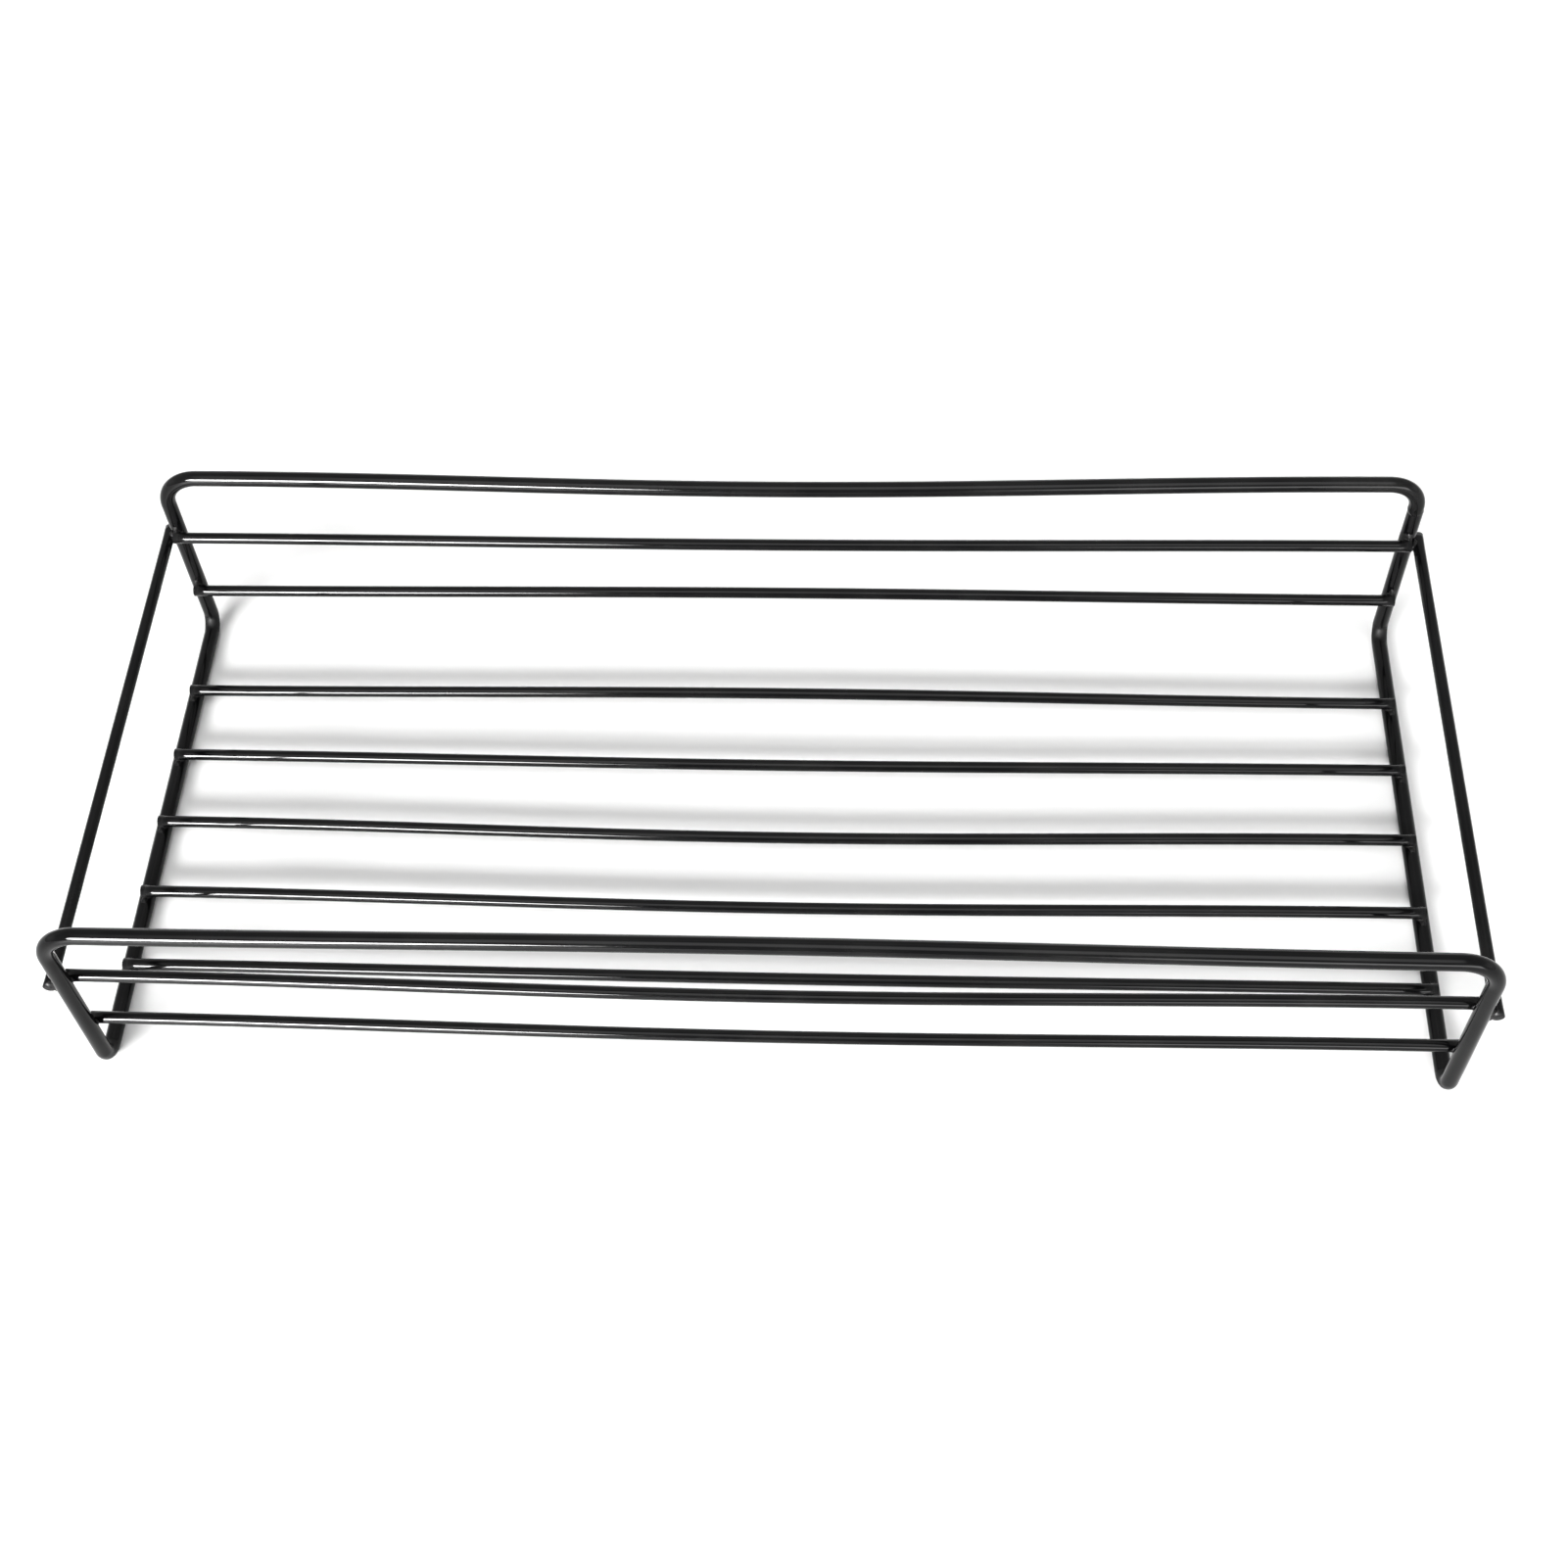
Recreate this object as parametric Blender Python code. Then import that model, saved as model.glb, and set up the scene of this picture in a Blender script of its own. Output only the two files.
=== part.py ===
# Wire bathroom shelf: a shallow open basket of gloss black coated steel wire.
#
# One thick wire is bent into a closed loop that makes the two lips and the two floor rails.
# Nine thin cross wires lie inside the loop and two thin side wires lie outside it.
# Every crossing is a resistance weld: the thin wire is notched over the thick one,
# and a small collar of weld metal fills the valleys round the crossing.
#
# Metres, +Z up. The origin is on the ground under the middle of the shelf.
# The front lip faces -Y and the back lip, which stands against the wall, faces +Y.

import math

import bmesh
import bpy
from mathutils import Matrix, Vector

# Wires, coating included
LOOP_WIRE = 0.0050              # diameter of the thick wire
THIN_WIRE = 0.0037              # diameter of the cross wires and side wires
END_ROUND = 0.0004              # rounding of the cut ends under the coating

# The loop, between centre lines
RAIL_SPACING = 0.400            # left floor rail to right floor rail
LOOP_DEPTH = 0.172              # front uprights to back uprights
LIP_HEIGHT = 0.072              # floor rails to top rails
CORNER_RADIUS = 0.0120          # three of the top corners
SEAM_CORNER_RADIUS = 0.0098     # the right back top corner, a little tighter
FOOT_RADIUS = 0.0060            # the four bends from floor rail to upright

# The butt weld that closes the loop, on the right back upright
SEAM_DROP = 0.0013              # the bead's middle, below the start of the top corner
SEAM_LENGTH = 0.0020
SEAM_PROUD = 0.00025            # how far its bead stands out of the wire

# Floor wires, evenly spaced between the first and the last
FIRST_FLOOR_WIRE = 0.0309       # behind the front uprights' centre line
LAST_FLOOR_WIRE = 0.0335        # before the back uprights' centre line

# Lip wires, above the floor rails' centre line
BACK_UPPER_HEIGHT = 0.0480
BACK_LOWER_HEIGHT = 0.0214
FRONT_UPPER_HEIGHT = 0.0433
FRONT_LOWER_HEIGHT = 0.0185
SIDE_DROP = 0.0039              # the side wires, below the back upper wire

# The thin wires' cut ends, against the loop's outside
END_SETBACK = 0.0018            # cross wires, and side wires at the front, stop this far short
BACK_OVERHANG = 0.0014          # side wires run this far past it at the back

# How far the middle of each long wire bows towards the front (minus is towards the back)
BACK_RAIL_BOW = 0.0034
FRONT_RAIL_BOW = -0.0010
BACK_UPPER_BOW = 0.00125
BACK_LOWER_BOW = -0.00105
FRONT_UPPER_BOW = 0.0024
FRONT_LOWER_BOW = 0.0018
FLOOR_BOW = 0.0027              # the floor wire that bows most
FLOOR_BOW_SHARES = (0.25, 0.80, 1.00, 0.45, -0.55)   # of FLOOR_BOW, one for each floor wire

# Welds
SEAT_GAP = 0.0003               # clearance between pieces that touch
SET_DOWN = 0.0003               # how far a cross wire is pressed into the loop; side wires touch it
WELD_REACH = 0.0024             # half length of the weld metal along the thin wire
WELD_SPREAD = 0.0028            # half length along the thick wire
WELD_RISE = 0.0016              # half thickness
WELD_SHIFT = 0.0012             # how far a cross wire's weld lies inwards of the crossing

# How finely round shapes are drawn
BEVEL_STEPS = 4                 # gives a wire twelve flats
WIRE_FLATS = 4 + 2 * BEVEL_STEPS
CORNER_STEPS = 6
FOOT_STEPS = 5
BOW_STEPS = 10
ROD_SIDES = 24
WELD_SEGMENTS = 16
WELD_RINGS = 8
SMOOTH_ANGLE = math.radians(40)

# Sizes that follow from those above
FLOOR_PITCH = (LOOP_DEPTH - FIRST_FLOOR_WIRE - LAST_FLOOR_WIRE) / (len(FLOOR_BOW_SHARES) - 1)
HALF_WIDTH = RAIL_SPACING / 2
HALF_DEPTH = LOOP_DEPTH / 2
RAIL_Z = LOOP_WIRE / 2
TOP_Z = RAIL_Z + LIP_HEIGHT
SEAM_Z = TOP_Z - SEAM_CORNER_RADIUS - SEAM_DROP
SIDE_Z = RAIL_Z + BACK_UPPER_HEIGHT - SIDE_DROP
SIDE_OFFSET = (LOOP_WIRE + THIN_WIRE) / 2
CROSS_OFFSET = SIDE_OFFSET - SET_DOWN
CROSS_HALF_LENGTH = HALF_WIDTH + LOOP_WIRE / 2 - END_SETBACK
SIDE_HALF_LENGTH = HALF_DEPTH + (LOOP_WIRE + BACK_OVERHANG - END_SETBACK) / 2
SIDE_MIDDLE = (BACK_OVERHANG + END_SETBACK) / 2

RIGHT = Vector((1, 0, 0))
BACK = Vector((0, 1, 0))
UP = Vector((0, 0, 1))


def clear_scene():
    for obj in list(bpy.data.objects):
        bpy.data.objects.remove(obj, do_unlink=True)


def new_collection(name):
    collection = bpy.data.collections.new(name)
    bpy.context.scene.collection.children.link(collection)
    return collection


def coat(name, color, roughness):
    """Stoved gloss black coating on steel."""
    material = bpy.data.materials.new(name)
    material.use_nodes = True
    shader = material.node_tree.nodes["Principled BSDF"]
    shader.inputs["Base Color"].default_value = (*color, 1)
    shader.inputs["Roughness"].default_value = roughness
    shader.inputs["Metallic"].default_value = 0
    return material


def arc(centre, start, finish, radius, steps):
    """Points of a quarter turn about centre, from direction start to direction finish."""
    points = []
    for step in range(steps + 1):
        angle = math.pi / 2 * step / steps
        points.append(centre + radius * (math.cos(angle) * start + math.sin(angle) * finish))
    return points


def bowed(start, finish, bow, steps=BOW_STEPS):
    """Points from start to finish, whose middle lies bow nearer the front.

    The run leaves both ends straight, so corners and welds meet it square.
    """
    points = []
    for step in range(steps + 1):
        along = step / steps
        push = bow * (1 - math.cos(2 * math.pi * along)) / 2
        points.append(start.lerp(finish, along) - BACK * push)
    return points


def wire_curve(name, points, radii, diameter, closed):
    """A round wire along points. Its flats, not its corners, are diameter apart,
    and one of them faces straight down."""
    curve = bpy.data.curves.new(name, "CURVE")
    curve.dimensions = "3D"
    curve.bevel_depth = diameter / 2 / math.cos(math.pi / WIRE_FLATS)
    curve.bevel_resolution = BEVEL_STEPS
    curve.use_fill_caps = not closed
    spline = curve.splines.new("POLY")
    spline.points.add(len(points) - 1)
    for point, place, radius in zip(spline.points, points, radii):
        point.co = (*place, 1)
        point.radius = radius
        point.tilt = math.pi / WIRE_FLATS
    spline.use_cyclic_u = closed
    return bpy.data.objects.new(name, curve)


def loop_wire():
    """The thick wire, as one closed run, and each point's radius as a share of the wire's."""
    points = []
    radii = []

    def add(run, shares=None):
        points.extend(run)
        radii.extend(shares or [1] * len(run))

    def lip(side, facing, radius=CORNER_RADIUS):
        """The foot bend, the upright and the top corner of one side of a lip, upwards."""
        out = RIGHT * side
        foot = arc(
            out * HALF_WIDTH + facing * (HALF_DEPTH - FOOT_RADIUS) + UP * (RAIL_Z + FOOT_RADIUS),
            -UP, facing, FOOT_RADIUS, FOOT_STEPS,
        )
        foot.insert(0, foot[0] - facing * FOOT_RADIUS)   # keeps the rail's underside level
        corner = arc(
            out * (HALF_WIDTH - radius) + facing * HALF_DEPTH + UP * (TOP_Z - radius),
            out, UP, radius, CORNER_STEPS,
        )
        return foot, corner

    # front top rail, left to right
    left_foot, left_corner = lip(-1, -BACK)
    right_foot, right_corner = lip(1, -BACK)
    add(left_corner)
    add(bowed(left_corner[-1], right_corner[-1], FRONT_RAIL_BOW)[1:-1])
    add(right_corner[::-1])
    add(right_foot[::-1])

    # right floor rail and back lip, right to left
    left_back_foot, left_back_corner = lip(-1, BACK)
    right_back_foot, right_back_corner = lip(1, BACK, SEAM_CORNER_RADIUS)
    add(right_back_foot)
    seam = RIGHT * HALF_WIDTH + BACK * HALF_DEPTH + UP * SEAM_Z
    half = UP * SEAM_LENGTH / 2
    proud = 1 + SEAM_PROUD / (LOOP_WIRE / 2)
    add([seam - half, seam - half / 2, seam + half / 2, seam + half], [1, proud, proud, 1])
    add(right_back_corner)
    add(bowed(right_back_corner[-1], left_back_corner[-1], BACK_RAIL_BOW)[1:-1])
    add(left_back_corner[::-1])
    add(left_back_foot[::-1])

    # left floor rail and the left side of the front lip
    add(left_foot)
    return points, radii


def thin_wire(name, centre, half_run, bow=0.0):
    """A thin wire through centre, half_run to each side, with rounded ends. It is a mesh,
    because the loop cuts its notches."""
    steps = BOW_STEPS if bow else 1
    run = bowed(-half_run, half_run, bow, steps)
    inset = half_run.normalized() * END_ROUND
    points = [run[0], run[0] + inset, *run[1:-1], run[-1] - inset, run[-1]]
    end = 1 - END_ROUND / (THIN_WIRE / 2)
    radii = [end] + [1] * (len(points) - 2) + [end]
    wire = wire_curve(name, points, radii, THIN_WIRE, closed=False)
    wire.location = centre
    return solid_mesh(wire)


def joined(mesh, distance):
    """Joins the mesh's points that lie within distance of each other."""
    bm = bmesh.new()
    bm.from_mesh(mesh)
    bmesh.ops.remove_doubles(bm, verts=bm.verts, dist=distance)
    bmesh.ops.recalc_face_normals(bm, faces=bm.faces)
    bm.to_mesh(mesh)
    bm.free()


def solid_mesh(curve_object):
    """The curve object as a mesh object in the same place, with its end caps joined on."""
    bpy.context.scene.collection.objects.link(curve_object)
    bpy.context.view_layer.update()
    evaluated = curve_object.evaluated_get(bpy.context.evaluated_depsgraph_get())
    mesh = bpy.data.meshes.new_from_object(evaluated)
    joined(mesh, SEAT_GAP / 10)
    name = curve_object.name
    place = curve_object.matrix_world.copy()
    bpy.data.objects.remove(curve_object, do_unlink=True)
    mesh.name = name
    obj = bpy.data.objects.new(name, mesh)
    obj.matrix_world = place
    return obj


def rod(name, place, diameter, collection):
    """A round cutter along the local Y axis of place."""
    bm = bmesh.new()
    bmesh.ops.create_cone(
        bm, cap_ends=True, segments=ROD_SIDES, radius1=diameter / 2, radius2=diameter / 2,
        depth=4 * LOOP_WIRE, matrix=Matrix.Rotation(math.pi / 2, 4, "X"),
    )
    mesh = bpy.data.meshes.new(name)
    bm.to_mesh(mesh)
    bm.free()
    obj = bpy.data.objects.new(name, mesh)
    obj.matrix_world = place
    obj.hide_render = True
    obj.display_type = "WIRE"
    collection.objects.link(obj)
    return obj


def cut(obj, cutter):
    modifier = obj.modifiers.new("cut_" + cutter.name, "BOOLEAN")
    modifier.operation = "DIFFERENCE"
    modifier.solver = "EXACT"
    modifier.object = cutter


def smooth(mesh):
    mesh.shade_smooth()
    mesh.set_sharp_from_angle(angle=SMOOTH_ANGLE)


def crossing(at, inwards, normal):
    """A crossing's own frame. X runs inwards along the thin wire, Y along the thick wire and
    Z out to the thin wire. Its origin is on the thick wire's centre line."""
    frame = Matrix((inwards, normal.cross(inwards), normal)).transposed().to_4x4()
    return Matrix.Translation(at) @ frame


def weld_mesh(name, offset, shift, cutters):
    """The weld metal of a crossing whose thin wire lies offset from the thick one. It lies
    shift inwards of the crossing, clear of the next weld round the corner."""
    bm = bmesh.new()
    size = Matrix.Diagonal((WELD_REACH, WELD_SPREAD, WELD_RISE, 1))
    contact = (LOOP_WIRE / 2 + offset - THIN_WIRE / 2) / 2
    middle = Matrix.Translation((shift, 0, contact))
    bmesh.ops.create_uvsphere(
        bm, u_segments=WELD_SEGMENTS, v_segments=WELD_RINGS, radius=1, matrix=middle @ size,
    )
    mesh = bpy.data.meshes.new(name + "_blank")
    bm.to_mesh(mesh)
    bm.free()
    blank = bpy.data.objects.new(name + "_blank", mesh)
    bpy.context.scene.collection.objects.link(blank)
    thick = rod(name + "_thick", Matrix.Identity(4), LOOP_WIRE + 2 * SEAT_GAP, cutters)
    across = Matrix.Translation((0, 0, offset)) @ Matrix.Rotation(math.pi / 2, 4, "Z")
    thin = rod(name + "_thin", across, THIN_WIRE + 2 * SEAT_GAP, cutters)
    cut(blank, thick)
    cut(blank, thin)
    bpy.context.view_layer.update()
    evaluated = blank.evaluated_get(bpy.context.evaluated_depsgraph_get())
    made = bpy.data.meshes.new_from_object(evaluated)
    made.name = name
    joined(made, SEAT_GAP / 100)
    bpy.data.objects.remove(blank, do_unlink=True)
    bpy.data.meshes.remove(mesh)
    smooth(made)
    return made


def build():
    clear_scene()
    shelf = new_collection("wire_shelf")
    cutters = new_collection("cutters")
    loop_coat = coat("loop_coat", (0.012, 0.012, 0.013), 0.22)
    wire_coat = coat("wire_coat", (0.010, 0.010, 0.011), 0.18)
    weld_coat = coat("weld_coat", (0.014, 0.014, 0.015), 0.30)

    # the middle of the whole shelf, its overhang at the back included, is over the world's
    # origin
    origin = bpy.data.objects.new("shelf_origin", None)
    origin.location = -BACK * BACK_OVERHANG / 2
    shelf.objects.link(origin)

    def place(obj, material):
        obj.data.materials.append(material)
        obj.parent = origin
        shelf.objects.link(obj)

    points, radii = loop_wire()
    place(wire_curve("frame_loop", points, radii, LOOP_WIRE, closed=True), loop_coat)

    cross_weld = weld_mesh("cross_weld", CROSS_OFFSET, WELD_SHIFT, cutters)
    side_weld = weld_mesh("side_weld", SIDE_OFFSET, 0, cutters)
    for mesh in (cross_weld, side_weld):
        mesh.materials.append(weld_coat)

    def join(wire, label, mesh, frame):
        """Notches the wire over the loop and puts the weld in the crossing."""
        cutter = rod("notch_" + label, frame, LOOP_WIRE + 2 * SEAT_GAP, cutters)
        cutter.parent = origin
        cut(wire, cutter)
        weld = bpy.data.objects.new("weld_" + label, mesh)
        weld.matrix_world = frame
        weld.parent = origin
        shelf.objects.link(weld)

    def cross_wire(label, on_loop, normal, bow):
        """A cross wire whose crossings lie at on_loop, moved out to each rail."""
        wire = thin_wire(label, on_loop + normal * CROSS_OFFSET, RIGHT * CROSS_HALF_LENGTH, bow)
        smooth(wire.data)
        place(wire, wire_coat)
        for side, side_name in ((-1, "left"), (1, "right")):
            frame = crossing(on_loop + RIGHT * side * HALF_WIDTH, -RIGHT * side, normal)
            join(wire, label.replace("_wire", "") + "_" + side_name, cross_weld, frame)

    def side_wire(label, side):
        out = RIGHT * side
        middle = out * HALF_WIDTH + UP * SIDE_Z
        centre = middle + out * SIDE_OFFSET + BACK * SIDE_MIDDLE
        wire = thin_wire(label, centre, BACK * SIDE_HALF_LENGTH)
        smooth(wire.data)
        place(wire, wire_coat)
        for facing, end_name in ((-BACK, "front"), (BACK, "back")):
            frame = crossing(middle + facing * HALF_DEPTH, -facing, out)
            join(wire, label.replace("_wire", "") + "_" + end_name, side_weld, frame)

    for number, share in enumerate(FLOOR_BOW_SHARES, start=1):
        y = FIRST_FLOOR_WIRE + (number - 1) * FLOOR_PITCH - HALF_DEPTH
        cross_wire(f"floor_wire_{number}", BACK * y + UP * RAIL_Z, UP, FLOOR_BOW * share)

    for label, facing, height, bow in (
        ("back_wire_upper", BACK, BACK_UPPER_HEIGHT, BACK_UPPER_BOW),
        ("back_wire_lower", BACK, BACK_LOWER_HEIGHT, BACK_LOWER_BOW),
        ("front_wire_upper", -BACK, FRONT_UPPER_HEIGHT, FRONT_UPPER_BOW),
        ("front_wire_lower", -BACK, FRONT_LOWER_HEIGHT, FRONT_LOWER_BOW),
    ):
        cross_wire(label, facing * HALF_DEPTH + UP * (RAIL_Z + height), -facing, bow)

    side_wire("side_wire_left", -1)
    side_wire("side_wire_right", 1)


build()
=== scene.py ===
import math

import bmesh
import bpy
import numpy as np
from mathutils import Matrix, Vector


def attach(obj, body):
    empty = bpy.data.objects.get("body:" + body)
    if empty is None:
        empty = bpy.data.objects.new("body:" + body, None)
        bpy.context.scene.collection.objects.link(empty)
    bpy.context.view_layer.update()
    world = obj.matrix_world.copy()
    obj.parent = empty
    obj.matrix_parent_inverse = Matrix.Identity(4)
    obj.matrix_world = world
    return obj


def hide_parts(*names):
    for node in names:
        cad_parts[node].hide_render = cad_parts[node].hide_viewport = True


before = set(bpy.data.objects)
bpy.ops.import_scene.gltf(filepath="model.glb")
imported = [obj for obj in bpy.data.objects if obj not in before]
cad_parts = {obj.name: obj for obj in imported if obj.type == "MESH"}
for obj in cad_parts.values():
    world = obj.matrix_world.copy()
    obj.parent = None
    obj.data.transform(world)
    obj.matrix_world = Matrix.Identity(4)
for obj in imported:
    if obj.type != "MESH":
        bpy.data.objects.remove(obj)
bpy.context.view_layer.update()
print("packed shelf loaded:", len(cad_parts), "nodes")

# Gloss black wire shelf, metres, +Z up, front lip towards -Y.
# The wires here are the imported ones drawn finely, with the coating run into the crossings.

shelf = {
    "railSpacing": 0.400,       # between the floor rails' centre lines
    "depth": 0.172,             # front uprights to back uprights
    "lipHeight": 0.072,         # floor rails to top rails
    "middle": -0.0007,          # Y of the loop's middle, the shelf's box is centred with the overhang
    "thick": 0.0025,            # radius of the loop's wire
    "thin": 0.00185,            # radius of the cross and side wires
    "setDown": 0.0003,          # cross wires are pressed this far into the loop
    "endShort": 0.0018,         # thin wires stop this far short of the loop's outside
}
halfWidth = shelf["railSpacing"] / 2
frontY = shelf["middle"] - shelf["depth"] / 2
backY = shelf["middle"] + shelf["depth"] / 2
railZ = shelf["thick"]
topZ = railZ + shelf["lipHeight"]
sideOffset = shelf["thick"] + shelf["thin"]
crossOffset = sideOffset - shelf["setDown"]

right = np.array((1.0, 0.0, 0.0))
back = np.array((0.0, 1.0, 0.0))
up = np.array((0.0, 0.0, 1.0))
leftRight = ((-1, "left"), (1, "right"))

wireShelf = bpy.data.collections.new("wireShelf")
studio = bpy.data.collections.new("studio")
for collection in (wireShelf, studio):
    bpy.context.scene.collection.children.link(collection)


# Materials

def newGroup(name, inputs, outputs):
    group = bpy.data.node_groups.new(name, "ShaderNodeTree")
    for label, kind, value in inputs:
        socket = group.interface.new_socket(label, in_out="INPUT", socket_type=kind)
        socket.default_value = value
    for label, kind in outputs:
        group.interface.new_socket(label, in_out="OUTPUT", socket_type=kind)
    nodes = group.nodes
    return group, nodes.new("NodeGroupInput"), nodes.new("NodeGroupOutput")


def addNode(tree, kind, place, **settings):
    node = tree.nodes.new(kind)
    node.location = place
    for key, value in settings.items():
        setattr(node, key, value)
    return node


def feed(tree, socket, value):
    # another node's output is linked, and a plain value is set
    if isinstance(value, bpy.types.NodeSocket):
        tree.links.new(value, socket)
    else:
        socket.default_value = value


def noiseNode(tree, place, vector, scale, detail):
    noise = addNode(tree, "ShaderNodeTexNoise", place)
    for label, value in (("Vector", vector), ("Scale", scale), ("Detail", detail)):
        feed(tree, noise.inputs[label], value)
    return noise.outputs["Fac"]


def mathNode(tree, operation, place, *values):
    node = addNode(tree, "ShaderNodeMath", place, operation=operation)
    for socket, value in zip(node.inputs, values):
        feed(tree, socket, value)
    return node.outputs[0]


def rangeNode(tree, place, value, low, high, toLow, toHigh):
    node = addNode(tree, "ShaderNodeMapRange", place, interpolation_type="SMOOTHSTEP")
    given = {"Value": value, "From Min": low, "From Max": high, "To Min": toLow, "To Max": toHigh}
    for label, number in given.items():
        feed(tree, node.inputs[label], number)
    return node.outputs["Result"]


mixSockets = {"FLOAT": (2, 3, 0), "RGBA": (6, 7, 2)}      # a Mix node's A, B and result, by kind


def mixNode(tree, kind, place, factor, first, second):
    node = addNode(tree, "ShaderNodeMix", place, data_type=kind)
    socketA, socketB, result = mixSockets[kind]
    for number, value in ((0, factor), (socketA, first), (socketB, second)):
        feed(tree, node.inputs[number], value)
    return node.outputs[result]


mottle = {
    "broadDetail": 3.0, "depthFrom": 0.35, "depthTo": 0.65,
    "fineTimes": 9.0, "fineDetail": 4.0,      # the finer clouds are this much smaller
    "glossFrom": 0.12, "glossTo": 0.42,
}


def makeCoatMottle():
    # stoved enamel is never one even black: broad clouds of depth, finer ones in its gloss
    group, given, result = newGroup(
        "coatMottle",
        [
            ("Scale", "NodeSocketFloat", 60.0),
            ("Deep", "NodeSocketColor", (0.006, 0.006, 0.007, 1)),
            ("Pale", "NodeSocketColor", (0.012, 0.012, 0.012, 1)),
            ("Gloss", "NodeSocketFloat", 0.08),
            ("Dull", "NodeSocketFloat", 0.16),
        ],
        [("Colour", "NodeSocketColor"), ("Roughness", "NodeSocketFloat")],
    )
    coords = addNode(group, "ShaderNodeTexCoord", (-900, 0)).outputs["Object"]
    broad = noiseNode(group, (-650, 200), coords, given.outputs["Scale"], mottle["broadDetail"])
    fineScale = mathNode(group, "MULTIPLY", (-850, -200), given.outputs["Scale"], mottle["fineTimes"])
    fine = noiseNode(group, (-650, -200), coords, fineScale, mottle["fineDetail"])
    depth = rangeNode(group, (-400, 200), broad, mottle["depthFrom"], mottle["depthTo"], 0.0, 1.0)
    colour = mixNode(group, "RGBA", (-150, 200), depth, given.outputs["Deep"], given.outputs["Pale"])
    both = mathNode(group, "MULTIPLY", (-400, -200), broad, fine)
    roughness = rangeNode(group, (-150, -200), both, mottle["glossFrom"], mottle["glossTo"],
                          given.outputs["Gloss"], given.outputs["Dull"])
    feed(group, result.inputs["Colour"], colour)
    feed(group, result.inputs["Roughness"], roughness)
    return group


skin = {"peelDetail": 1.0, "nibSize": 0.055, "nibAbove": 0.84}      # about one cell in six has a nib


def makeCoatSkin():
    # the coating's own surface: a slight orange peel, and a few nibs of dust under it
    group, given, result = newGroup(
        "coatSkin",
        [
            ("Peel scale", "NodeSocketFloat", 900.0),
            ("Peel", "NodeSocketFloat", 0.3),
            ("Nib scale", "NodeSocketFloat", 90.0),
            ("Nib", "NodeSocketFloat", 1.0),
        ],
        [("Height", "NodeSocketFloat")],
    )
    coords = addNode(group, "ShaderNodeTexCoord", (-1100, 0)).outputs["Object"]
    peel = noiseNode(group, (-650, 200), coords, given.outputs["Peel scale"], skin["peelDetail"])
    peel = mathNode(group, "MULTIPLY", (-400, 200), peel, given.outputs["Peel"])
    cells = addNode(group, "ShaderNodeTexVoronoi", (-850, -200))
    feed(group, cells.inputs["Vector"], coords)
    feed(group, cells.inputs["Scale"], given.outputs["Nib scale"])
    bump = rangeNode(group, (-600, -150), cells.outputs["Distance"], 0.0, skin["nibSize"], 1.0, 0.0)
    parts = addNode(group, "ShaderNodeSeparateColor", (-600, -400))
    feed(group, parts.inputs["Color"], cells.outputs["Color"])
    chosen = mathNode(group, "GREATER_THAN", (-400, -400), parts.outputs["Red"], skin["nibAbove"])
    nib = mathNode(group, "MULTIPLY", (-250, -200), bump, chosen)
    nib = mathNode(group, "MULTIPLY", (-100, -200), nib, given.outputs["Nib"])
    feed(group, result.inputs["Height"], mathNode(group, "ADD", (60, 0), peel, nib))
    return group


handled = {
    "patchDetail": 5.0, "patchTo": 0.85,
    "grainScale": 1100.0, "grainDetail": 2.0, "grainFrom": 0.40, "grainTo": 0.7, "grainLeast": 0.6,
}


def makeHandling():
    # where the shelf was held and slid: soft films of dust and fine scuffs
    group, given, result = newGroup(
        "handling",
        [
            ("Scale", "NodeSocketFloat", 35.0),
            ("Cover", "NodeSocketFloat", 0.35),
        ],
        [("Mask", "NodeSocketFloat")],
    )
    coords = addNode(group, "ShaderNodeTexCoord", (-900, 0)).outputs["Object"]
    patches = noiseNode(group, (-650, 150), coords, given.outputs["Scale"], handled["patchDetail"])
    grain = noiseNode(group, (-650, -150), coords, handled["grainScale"], handled["grainDetail"])
    start = mathNode(group, "SUBTRACT", (-650, -350), handled["patchTo"], given.outputs["Cover"])
    patches = rangeNode(group, (-400, 150), patches, start, handled["patchTo"], 0.0, 1.0)
    grain = rangeNode(group, (-400, -150), grain, handled["grainFrom"], handled["grainTo"],
                      handled["grainLeast"], 1.0)
    feed(group, result.inputs["Mask"], mathNode(group, "MULTIPLY", (-150, 0), patches, grain))
    return group


coatMottle = makeCoatMottle()
coatSkin = makeCoatSkin()
handling = makeHandling()

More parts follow.
